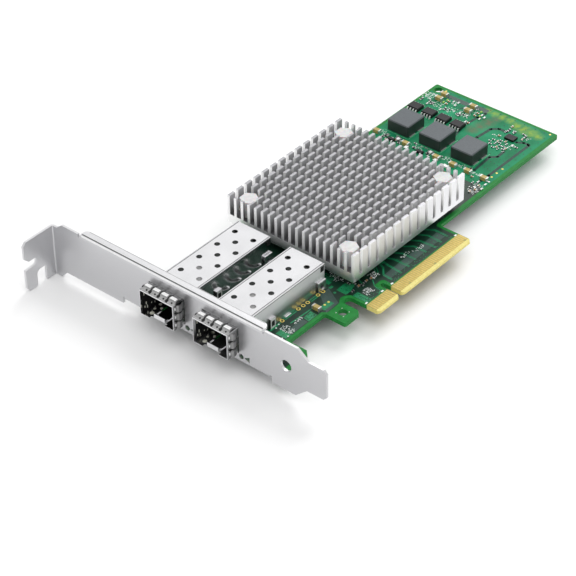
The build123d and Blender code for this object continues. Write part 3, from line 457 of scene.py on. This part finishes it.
plates("small_vias", [disc(x, y, 0.26, 8) for x, y in sunk], PRINT_Z, PRINT_Z + 0.004, mask_gap,
       "board_laminate")

# Half-round pads between the cages, seen again as arcs in the far cage's wall

arcs = []
for x in (23.3, 29.3, 34.4, 39.6):
    turns = [math.radians(85 + 15 * i) for i in range(12)]
    arcs += track([(x + 2.5 * math.cos(t), 41.8 + 2.5 * math.sin(t)) for t in turns], 1.4)
plates("shield_pads", arcs, PRINT_Z, RING_Z, pad_bright, "tin")


def scatter(x0, y0, x1, y1, count):
    """Chance places in a rectangle of the board."""
    return [(chance.uniform(x0, x1), chance.uniform(y0, y1)) for i in range(count)]


bright = [(x + chance.uniform(-0.3, 0.3), y) for x, y in scatter(46.6, 6.2, 94.6, 9.4, 90)]
for region in ((124.5, 15.5, 131.0, 67.0, 90), (150.0, 44.0, 166.0, 67.0, 130), (66, 10, 92, 13, 30)):
    bright += scatter(*region)
plates("bright_vias", [disc(x, y, 0.17, 6) for x, y in bright], PRINT_Z, PRINT_Z + 0.004, mask_patch,
       "board_laminate")
dull = []
for region in ((124.5, 15.5, 150.0, 67.0, 70), (47, 12.6, 52, 18, 26), (46.6, 6.4, 48.8, 12.0, 24),
               (27, 15.1, 31, 17.4, 20)):
    dull += scatter(*region)
plates("dark_vias", [disc(x, y, 0.2, 6) for x, y in dull], PRINT_Z, PRINT_Z + 0.004, mask_gap,
       "board_laminate")

# Edge tongue: bare laminate on the bevels, the tips and the sides

def tongue_parts(x0, x1):
    """Sheets over the bevels, tip and side walls of one tongue, each with its way outwards."""
    cut, bevel, drop, skin, wall_end = 0.9, 1.3, 0.45, 0.012, 5.3
    mid = drop * (1 - cut / bevel)
    t = BOARD_T
    walls = []
    for sign, z_face in ((1, 0.0), (-1, -t)):
        low = z_face - sign * drop
        ring = [(x0 + cut, 0, low), (x1 - cut, 0, low), (x1, cut, z_face - sign * mid),
                (x1, bevel, z_face), (x0, bevel, z_face), (x0, cut, z_face - sign * mid)]
        walls.append((ring, (0, -drop * skin, sign * bevel * skin)))
    tip = [(x0 + cut, 0, -t + drop), (x1 - cut, 0, -t + drop), (x1 - cut, 0, -drop),
           (x0 + cut, 0, -drop)]
    walls.append((tip, (0, -skin, 0)))
    for x, sign in ((x0, -1), (x1, 1)):
        side = [(x, cut, -t + mid), (x, bevel, -t), (x, wall_end, -t), (x, wall_end, 0), (x, bevel, 0),
                (x, cut, -mid)]
        walls.append((side, (sign * skin, 0, 0)))
        inner = x - sign * cut
        corner = [(inner, 0, -t + drop), (x, cut, -t + mid), (x, cut, -mid), (inner, 0, -drop)]
        walls.append((corner, (sign * skin, -skin, 0)))
    return walls


verts, faces = [], []
for x0, x1 in ((-12.15, -0.95), (0.95, 39.15)):
    for ring, lift in tongue_parts(x0, x1):
        n, base = len(ring), len(verts)
        verts += [tuple((p + q) * MM for p, q in zip(point, lift)) for point in ring]
        verts += [tuple((p + 2 * q) * MM for p, q in zip(point, lift)) for point in ring]
        faces.append([base + i for i in range(n)])
        faces.append([base + n + i for i in reversed(range(n))])
        faces += [[base + j, base + i, base + n + i, base + n + j] for i, j in around(n)]
piece("tongue_laminate", verts, faces, laminate, "board_laminate")
for name, z0, z1 in (("contact_ground", 0.002, 0.02),
                     ("contact_ground_back", SOLDER_SIDE_Z, -BOARD_T - 0.002)):
    plates(name, [bar(45.26, 1.35, 56.44, 5.5), bar(58.36, 1.35, 96.54, 5.5)], z0, z1, laminate_gap,
           "board_laminate")

# Silk-screen ticks and short dashes, none of them a letter

TAB_HOLE_X, TAB_HOLE_Y, TAB_DOT = 37.35, 9.2, 1.55
marks = []
for x0, y0, x1, y1, count in (
        (17.6, 15.3, 20.6, 20.0, 46), (21.6, 17.5, 26.8, 18.5, 20), (49.0, 19.6, 52.6, 26.6, 44),
        (49.8, 8.3, 53.5, 11.3, 44), (58.3, 12.4, 61.4, 15.2, 40), (72.9, 11.8, 77.6, 13.2, 16),
        (78.6, 10.4, 84.3, 11.8, 18), (158.4, 64.2, 162.6, 68.6, 60), (153.9, 30.4, 154.6, 33.0, 8),
        (160.4, 55.0, 163.0, 56.4, 8), (118.6, 14.9, 125.4, 19.4, 44), (156.4, 46.0, 160.0, 51.0, 26),
        (155.4, 52.0, 159.6, 57.0, 24), (155.6, 58.4, 160.6, 62.0, 26), (160.6, 45.0, 164.6, 47.6, 12),
        (150.0, 21.0, 153.0, 23.4, 10), (146.8, 22.8, 151.4, 24.0, 8), (128.2, 51.6, 130.6, 53.6, 10),
        (128.6, 63.6, 131.2, 65.4, 14), (129.6, 47.2, 131.4, 50.4, 14), (129.0, 34.4, 131.6, 37.6, 16),
        (129.4, 28.0, 131.8, 30.8, 14), (128.9, 20.6, 130.8, 23.6, 14), (158.4, 19.6, 161.6, 21.0, 8)):
    for x, y in scatter(x0, y0, x1, y1, count):
        marks.append(turned_bar(x, y, chance.uniform(0.35, 0.8), 0.17, chance.choice((0, 90))))
for x, y in ((95.2, 5.8), (59.9, 6.1), (54.6, 6.1), (46.2, 6.2)):
    marks.append(bar(x - 0.55, y - 0.3, x + 0.55, y + 0.3))
for x in (TAB_HOLE_X - TAB_DOT, TAB_HOLE_X + TAB_DOT):
    marks += [disc(x, y, 0.17, 8) for y in (TAB_HOLE_Y - TAB_DOT, TAB_HOLE_Y + TAB_DOT)]
marks.append(bar(23.5, 21.95, 26.3, 22.45))
for x, y in ((17.2, 20.9), (19.2, 21.5), (13.0, 17.9), (14.4, 16.0), (16.4, 15.2)):
    marks.append(disc(x, y, 0.3, 8))
marks += [bar(9.6 + i * 1.3, 19.2, 10.5 + i * 1.3, 19.6) for i in range(3)]
plates("silk_marks", marks, PRINT_Z, PRINT_Z + 0.008, silk, "board_laminate")

# Bright lines at the foot of the inductors

corners = []
for y in (31.0, 45.4, 59.8):
    corners += track([(131.8, y - 5.4), (143.0, y - 5.4)], 0.36)
    corners += track([(131.8, y - 5.4), (131.8, y + 5.4)], 0.36)
plates("inductor_corners", corners, PRINT_Z, PRINT_Z + 0.006, mask_edge, "board_laminate")

# Small parts, too many for the CAD

def small_parts(places, length, width, height, body, name):
    """Blocks with a bright cap at both ends, at places given with their turn in degrees."""
    ends, blocks = [], []
    for x, y, turn in places:
        blocks.append(turned_bar(x, y, length * 0.5, width * 0.96, turn))
        c, s = math.cos(math.radians(turn)), math.sin(math.radians(turn))
        for side in (-1, 1):
            shift = side * length * 0.375
            ends.append(turned_bar(x + shift * c, y + shift * s, length * 0.25, width, turn))
    plates(name, blocks, 0.02, height * 0.95, body, "chip_black")
    plates(name + "_ends", ends, 0.02, height, tin, "tin")


black = [(149.7, 30.5, 90), (151.2, 29.9, 90), (149.5, 28.1, 0), (147.0, 27.4, 90),
         (149.4, 25.7, 90), (152.3, 27.3, 90), (149.6, 24.2, 90), (151.5, 24.4, 0),
         (148.0, 23.6, 90), (147.1, 25.2, 0), (150.7, 26.9, 90), (148.3, 29.4, 90),
         (158.0, 29.4, 0), (160.8, 23.2, 90), (152.1, 20.4, 90), (157.0, 66.9, 0), (157.0, 63.6, 0),
         (156.7, 61.8, 0), (157.0, 54.7, 0), (157.7, 48.3, 90), (156.4, 50.6, 0), (128.4, 59.8, 0),
         (131.2, 50.6, 90), (130.4, 38.2, 90), (131.0, 25.4, 90), (58.9, 13.3, 0), (54.4, 13.5, 0),
         (52.8, 13.2, 90), (48.2, 13.6, 0), (50.6, 17.2, 90), (51.8, 15.8, 90), (124.2, 19.7, 0),
         (121.4, 18.6, 90), (120.4, 15.4, 0), (127.6, 62.8, 90), (127.6, 55.6, 90)]
brown = [(151.1, 28.1, 0), (147.8, 26.3, 0), (152.6, 25.6, 0), (148.8, 22.9, 0), (154.5, 29.7, 90),
         (159.9, 26.7, 90), (157.6, 21.7, 20), (162.2, 29.4, 0), (55.5, 13.6, 0), (57.6, 13.3, 0),
         (51.6, 13.9, 0), (124.0, 16.9, 0), (121.2, 16.4, 90), (119.2, 17.4, 0), (128.2, 57.6, 90),
         (126.2, 47.2, 0), (126.6, 60.6, 90), (159.5, 57.6, 90), (161.4, 57.8, 90),
         (159.7, 44.6, 90), (161.6, 44.6, 90), (154.2, 43.6, 90), (127.0, 22.0, 90)]
pale = [(162.3, 56.3, 0), (160.6, 54.4, 0), (162.9, 54.5, 0), (157.5, 50.0, 0), (155.9, 49.6, 0),
        (157.6, 46.8, 0), (161.4, 42.6, 0), (160.7, 41.0, 0), (158.9, 41.9, 0), (155.2, 63.4, 0),
        (155.0, 57.2, 0), (154.2, 44.9, 0), (129.2, 42.6, 0), (127.4, 42.0, 90), (129.6, 62.0, 90),
        (131.2, 45.6, 90), (130.4, 31.9, 90), (130.9, 58.4, 90), (123.0, 14.9, 0), (126.0, 15.4, 0),
        (128.1, 15.6, 90), (122.2, 17.4, 90), (125.8, 18.4, 0), (152.2, 22.2, 0)]
for i in range(9):
    black.append((116.0 + 3.1 * (i % 3), 24.0 + 4.9 * i, 90 * (i % 2)))
    brown.append((119.2 - 2.4 * (i % 2), 21.6 + 4.9 * i, 90))
    pale.append((121.6 - 2.0 * (i % 3), 26.4 + 4.4 * i, 0))
small_parts(black, 1.15, 0.62, 0.38, resistor, "tiny_resistors")
small_parts(brown, 1.15, 0.62, 0.5, ceramic_small, "tiny_capacitors")
small_parts(pale, 1.2, 0.62, 0.4, tin, "bare_links")
large = ((129.4, 57.1, 90), (129.9, 42.7, 90), (126.9, 51.6, 0), (127.2, 38.4, 0), (126.2, 33.2, 90))
small_parts(large, 2.2, 1.3, 0.7, pad_bright, "bright_blocks")
lamps = ((159.9, 59.2), (161.9, 58.9), (163.2, 44.2), (160.6, 43.0))
plates("indicator_lamps", [turned_bar(x, y, 1.0, 0.55, 0) for x, y in lamps], 0.02, 0.4, lamp_green,
       "light_lens")

# Cages: seams between cover and base, then the collars with their bowed fingers

PORTS = (29.95, 53.35)
CAGE_X0, CAGE_X1, CAGE_H, HALF = -5.1, 44.2, 9.9, 7.4
BEHIND_FACE, SEAM_Y, SEAM_HALF = 1.6, 6.85, 0.13
seams = [bar(BEHIND_FACE, y + side * SEAM_Y - SEAM_HALF, CAGE_X1, y + side * SEAM_Y + SEAM_HALF)
         for y in PORTS for side in (-1, 1)]
plates("cage_seams", seams, CAGE_H + 0.002, CAGE_H + 0.012, seam_and_shade_grey, "cage_sheet")


def ribbon(path, thick, low_w, high_w, place):
    """A bent strip of sheet: its middle line in one plane, swept between two limits across it."""
    rows = []
    for i, (u, v) in enumerate(path):
        (au, av), (bu, bv) = path[max(i - 1, 0)], path[min(i + 1, len(path) - 1)]
        run = math.hypot(bu - au, bv - av)
        nu, nv = -(bv - av) / run * thick / 2, (bu - au) / run * thick / 2
        rows.append([place(u + s * nu, v + s * nv, w) for s, w in
                     ((1, low_w), (1, high_w), (-1, high_w), (-1, low_w))])
    verts = [row(*p) for ring in rows for p in ring]
    faces = [[0, 1, 2, 3], [len(verts) - 4 + i for i in (3, 2, 1, 0)]]
    for base in range(0, 4 * len(rows) - 4, 4):
        faces += [[base + k, base + m, base + 4 + m, base + 4 + k] for k, m in around(4)]
    return verts, faces


def join(parts):
    """Several closed forms as one list of points and one of faces."""
    verts, faces = [], []
    for v, f in parts:
        faces += [[i + len(verts) for i in face] for face in f]
        verts += v
    return verts, faces


# Middle lines of the fingers: distance behind the mouth, height above the wall
BOW = [(1.0, 0.06), (1.5, 0.12), (1.85, 0.4), (2.1, 0.76), (2.35, 0.88), (3.2, 0.88), (3.45, 0.76),
       (3.9, 0.5), (4.6, 0.26), (5.1, 0.14), (6.2, 0.06)]
FLAT = [(1.1, 0.06), (2.6, 0.2), (4.0, 0.5), (4.6, 0.3), (5.0, 0.1), (6.2, 0.06)]
SHEET, SLIT = 0.12, 0.27


def band(y):
    """The strip that holds the fingers round one mouth."""
    o = SHEET / 2
    wide, top, gap = HALF + o, CAGE_H + o, 3.6
    path = [(-gap, -o), (-wide, -o), (-wide, top), (wide, top), (wide, -o), (gap, -o)]
    return ribbon(path, SHEET, CAGE_X0 + 0.3, CAGE_X0 + 1.3, lambda u, v, w: (w, y + u, v))


def fingers(count, width, wall):
    """Bowed fingers side by side along one wall."""
    step = width / count
    half = step / 2 - SLIT
    return [ribbon(BOW, SHEET, -half, half, wall((i + 0.5) * step)) for i in range(count)]


def top_fingers(y):
    """The fingers along the top of one mouth."""
    return fingers(4, 2 * HALF, lambda at: lambda u, v, w: (CAGE_X0 + u, y - HALF + at + w, CAGE_H + v))


def side_fingers(y):
    """The fingers of both side walls and the two flat ones below."""
    parts = fingers(3, CAGE_H, lambda at: lambda u, v, w: (CAGE_X0 + u, y - HALF - v, at + w))
    parts += fingers(3, CAGE_H, lambda at: lambda u, v, w: (CAGE_X0 + u, y + HALF + v, at + w))
    for side in (-1, 1):
        middle = y + side * 5.5
        parts.append(ribbon(FLAT, SHEET, -1.6, 1.6, lambda u, v, w: (CAGE_X0 + u, middle + w, -v)))
    return parts


for number, y in enumerate(PORTS, 1):
    collar = join([band(y)] + top_fingers(y))
    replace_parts(piece(f"collar_top_{number}", *collar, spring, "collar_spring"), f"emi_collar_{number}")
    # The side fingers take a darker copy of the spring metal: painted shade.
    piece(f"collar_sides_{number}", *join(side_fingers(y)), spring_painted_shade, "collar_spring")
    middles = [y - HALF + (i + 0.5) * HALF / 2 for i in range(4)]
    near = y - HALF
    # Painted highlights on the crests of the top fingers; painted shade for the small holes near the
    # mouth and for the slits between the fingers.
    for kind, outlines, z0, z1, material in (
            ("crest_highlights", [bar(CAGE_X0 + 2.1, at - 1.15, CAGE_X0 + 3.4, at + 1.3) for at in middles],
             CAGE_H + 0.9, CAGE_H + 0.97, painted_highlight),
            ("dots", [disc(CAGE_X0 + 1.35, at - 0.3, 0.3, 8) for at in middles],
             CAGE_H + 0.12, CAGE_H + 0.3, painted_shade),
            ("slit_shade", [bar(CAGE_X0 + 0.75, at + 1.52, CAGE_X0 + 4.2, at + 2.18) for at in middles[:-1]],
             CAGE_H + 0.02, CAGE_H + 0.5, painted_shade)):
        plates(f"collar_{kind}_{number}", outlines, z0, z1, material, "collar_spring")
    # Painted shade in two slits of the near side wall.
    for k, z in enumerate((CAGE_H / 3, CAGE_H * 2 / 3)):
        slit = bar(CAGE_X0 + 0.9, near - 0.5, CAGE_X0 + 4.2, near - 0.02)
        plates(f"collar_side_slit_{number}_{k}", [slit], z - 0.22, z + 0.22, painted_shade, "collar_spring")
    # Painted highlights on three dimples of the near side wall.
    for k, z in enumerate((1.9, 5.2, 8.5)):
        dimple = bar(CAGE_X0 + 0.75, near - 0.3, CAGE_X0 + 1.15, near - 0.1)
        plates(f"collar_dimple_{number}_{k}", [dimple], z - 0.45, z + 0.45, painted_highlight,
               "collar_spring")

# Inside of the cages: painted shade on the roof, floor and walls, a few painted glints, and the soldered
# ears on the near wall with painted highlights and shade

INNER_HALF, INNER_END = 6.9, 39.0
WALL_GLINTS = ((-3.7, 6.8, 1.4), (-3.6, 1.6, 0.8), (-2.9, 2.6, 1.2), (-2.4, 0.9, 1.2), (-0.4, 1.7, 0.5),
               (1.2, 1.0, 0.6))
FLOOR_GLINTS = ((1.0, 3.6), (5.4, 1.2), (7.2, -2.6), (3.0, -4.6))
FLOOR_SHEEN = ((-2.8, 4.4, 0.8), (-0.5, 5.3, 0.5), (2.4, 5.4, 0.6))
EAR_X = CAGE_X0 + 20.6

for number, y in enumerate(PORTS, 1):
    near = y - HALF
    out = near - 0.82
    walls = (y - INNER_HALF - 0.02, y + INNER_HALF + 0.02)
    # Painted shade sheets line the roof, floor and walls inside; the glint and sheen discs on the floor
    # are painted glints.
    for kind, outlines, z0, z1, material in (
            ("cage_roof_shade", [bar(CAGE_X0 + 1.2, y - INNER_HALF, INNER_END, y + INNER_HALF)],
             CAGE_H - 0.26, CAGE_H - 0.24, painted_shade),
            ("cage_floor_shade", [bar(CAGE_X0 + 8.4, y - INNER_HALF, 32.0, y + INNER_HALF)],
             0.22, 0.24, painted_cage_shade),
            ("cage_walls_shade", [bar(CAGE_X0 + 1.0, at - 0.02, INNER_END, at + 0.02) for at in walls],
             0.25, CAGE_H - 0.27, painted_cage_shade),
            ("floor_glint", [disc(x, y + d, 0.5) for x, d in FLOOR_GLINTS], 0.26, 0.3, glint),
            ("floor_sheen", [disc(x, y + d, radius) for x, d, radius in FLOOR_SHEEN],
             0.25, 0.255, glint),
            # Grey discs under two vents: painted light seen through them.
            ("vent_painted_light", [disc(CAGE_X0 + x, y + d, 1.25) for x, d in ((16.75, -4.1), (21.3, 0.0))],
             CAGE_H - 0.235, CAGE_H - 0.22, spring_painted_shade),
            # The ears: painted highlights on shelf and feet, painted shade in the window, at the end and
            # in the wall's notch.
            ("ear_shelf_highlight", [bar(CAGE_X1 - 4.0, out, CAGE_X1 - 0.25, out + 0.4)],
             4.0, 4.03, painted_highlight),
            ("ear_feet_highlight", [bar(x, out, x + 1.3, out + 0.02) for x in (CAGE_X0 + 21.4, CAGE_X1 - 2.4)],
             0.3, 1.0, painted_highlight),
            ("ear_face", [bar(EAR_X, out - 0.012, EAR_X + 2.5, out - 0.004)], 0.1, 3.95, lead_bright),
            ("ear_window_shade", [bar(EAR_X + 0.5, out - 0.03, EAR_X + 2.0, out - 0.015)],
             0.9, 3.0, painted_shade),
            ("ear_end_shade", [bar(EAR_X - 0.03, out, EAR_X - 0.004, out + 0.8)], 0.1, 3.8, painted_shade),
            ("wall_seam", [bar(BEHIND_FACE, near - 0.03, CAGE_X1 - 0.1, near - 0.004)],
             CAGE_H - 0.5, CAGE_H - 0.3, seam_and_shade_grey),
            ("wall_notch_shade", [bar(CAGE_X1 - 2.1, near - 0.04, CAGE_X1 - 0.3, near - 0.004)],
             7.2, 9.3, painted_shade)):
        plates(f"{kind}_{number}", outlines, z0, z1, material, "cage_sheet")
    # Painted glints on the far inner wall.
    for k, (x, z, high) in enumerate(WALL_GLINTS):
        mark = bar(x, y + INNER_HALF - 0.06, x + 0.35, y + INNER_HALF - 0.02)
        plates(f"contact_glint_{number}_{k}", [mark], z, z + high, glint, "cage_sheet")

# Solder side: pads and tips of the cages' pins, small parts, pads, vias and tracks

feet = [(x, y + side * HALF) for y in PORTS for side in (-1, 1)
        for x in (3.4, 9.6, 15.8, 22.0, 28.2, 34.4, 40.6)]
PAD_Z = -BOARD_T - 0.05
plates("cage_pin_pads", [disc(x, y, 0.9) for x, y in feet], PAD_Z, SOLDER_SIDE_Z, tin, "tin")
plates("cage_pin_tips", [disc(x, y, 0.4, 8) for x, y in feet], -BOARD_T - 0.8, PAD_Z, tin, "tin")
for name, region, length, width, height, material, slot in (
        ("decoupling_parts", (60, 30, 94, 54, 46), 1.0, 0.5, 0.5, ceramic_small, "ceramic_tan"),
        ("filter_parts", (126, 22, 150, 62, 22), 2.0, 1.2, 0.9, ceramic_small, "ceramic_tan"),
        ("bias_parts", (128, 18, 160, 64, 26), 1.0, 0.5, 0.35, resistor, "chip_black"),
        ("solder_side_pads", (12, 60, 160, 66, 26), 1.1, 1.1, 0.04, tin, "tin")):
    plates(name, [turned_bar(x, y, length, width, chance.choice((0, 90))) for x, y in scatter(*region)],
           -BOARD_T - height, SOLDER_SIDE_Z, material, slot)
plates("solder_side_vias", [disc(x, y, 0.25, 6) for x, y in scatter(8, 16, 165, 66, 320)],
       SOLDER_SIDE_Z - 0.01, SOLDER_SIDE_Z, mask_patch, "board_laminate")
runs = []
for i in range(8):
    start, end = 62 + 4 * i, 66 + 3.2 * i
    runs += track([(start, 7.0), (start, 12.0), (end, 20.0), (end, 30.0)], 0.3)
plates("solder_side_tracks", runs, SOLDER_SIDE_Z - 0.014, SOLDER_SIDE_Z, mask_trace, "board_laminate")

# Line of shade and line of light along the fold of the bracket's flange

FOLD, FLANGE_TOP = 1.4, 14.42
for name, first, last, material in (("fold_shade", 14, 27, seam_and_shade_grey),
                                    ("fold_light", 36, 60, painted_highlight)):
    arc = [math.radians(first + (last - first) * i / 4) for i in range(5)]
    outer = FOLD + 0.02
    path = [(FOLD - outer * math.sin(t), FLANGE_TOP - FOLD + outer * math.cos(t)) for t in arc]
    piece(name, *ribbon(path, 0.03, 12.4, 92.2, lambda u, v, w: (u, w, v)), material, "bracket_steel")

# A dark line along the flange's edge: painted shade.
plates("flange_edge", [bar(3.3, 13.6, 3.45, 91.0)], FLANGE_TOP + 0.003, FLANGE_TOP + 0.012, spring_painted_shade,
       "bracket_steel")

# Camera at the photo's angle, floor and light

scene = bpy.context.scene
camera = bpy.data.objects.new("camera", bpy.data.cameras.new("camera"))
scene.collection.objects.link(camera)
right = Vector((0.64249, -0.76619, -0.01252))
up = Vector((0.47664, 0.38679, 0.78944))
turn = Matrix((right, up, right.cross(up))).transposed().to_4x4()
camera.matrix_world = Matrix.Translation(row(-403.508, -344.258, 449.568)) @ turn
SENSOR, FOCAL_PIXELS, PICTURE_PIXELS = 36, 2185.601, 576
camera.data.sensor_width = SENSOR
camera.data.lens = FOCAL_PIXELS * SENSOR / PICTURE_PIXELS
camera.data.clip_start, camera.data.clip_end = 0.05, 20
scene.camera = camera

floor_mesh = bpy.data.meshes.new("floor")
REACH, FLOOR_Z = 6.0, -0.0081
corners = [(x, y, FLOOR_Z) for x, y in bar(-REACH, -REACH, REACH, REACH)]
floor_mesh.from_pydata(corners, [], [(0, 1, 2, 3)])
floor_mesh.materials.append(finish_of("floor_paint", "f6f6f6", "fafafa", 0.8, scale=6))
floor = bpy.data.objects.new("floor", floor_mesh)
scene.collection.objects.link(floor)


def lamp(name, place, size, power):
    """A square area light turned to the card, in metres and watts."""
    data = bpy.data.lights.new(name, "AREA")
    data.shape = "RECTANGLE"
    data.size = data.size_y = size
    data.energy = power
    made = bpy.data.objects.new(name, data)
    scene.collection.objects.link(made)
    made.location = place
    made.rotation_euler = (Vector((0.02, 0.03, 0)) - Vector(place)).to_track_quat("-Z", "Y").to_euler()


lamp("key", (1.05, 0.25, 1.12), 0.8, 8.6)
lamp("overhead", (-0.25, -0.35, 1.4), 1.2, 6.5)

# Studio sky: grey at the horizon, white above it, a little darker overhead
world = bpy.data.worlds.new("studio")
scene.world = world
world.use_nodes = True
tree = world.node_tree
background = tree.nodes["Background"]
place = new_node(tree, "TexCoord")
split = new_node(tree, "SeparateXYZ")
ramp = new_node(tree, "ValToRGB")
ramp.color_ramp.elements[0].position = 0.0
ramp.color_ramp.elements[0].color = (0.45, 0.45, 0.46, 1)
ramp.color_ramp.elements[1].position = 0.6
ramp.color_ramp.elements[1].color = (1, 1, 1, 1)
ramp.color_ramp.elements.new(0.95).color = (0.6, 0.6, 0.6, 1)
tree.links.new(place.outputs["Generated"], split.inputs["Vector"])
tree.links.new(split.outputs["Z"], ramp.inputs["Fac"])
tree.links.new(ramp.outputs["Color"], background.inputs["Color"])
background.inputs["Strength"].default_value = 0.95

scene.view_settings.view_transform = "Standard"
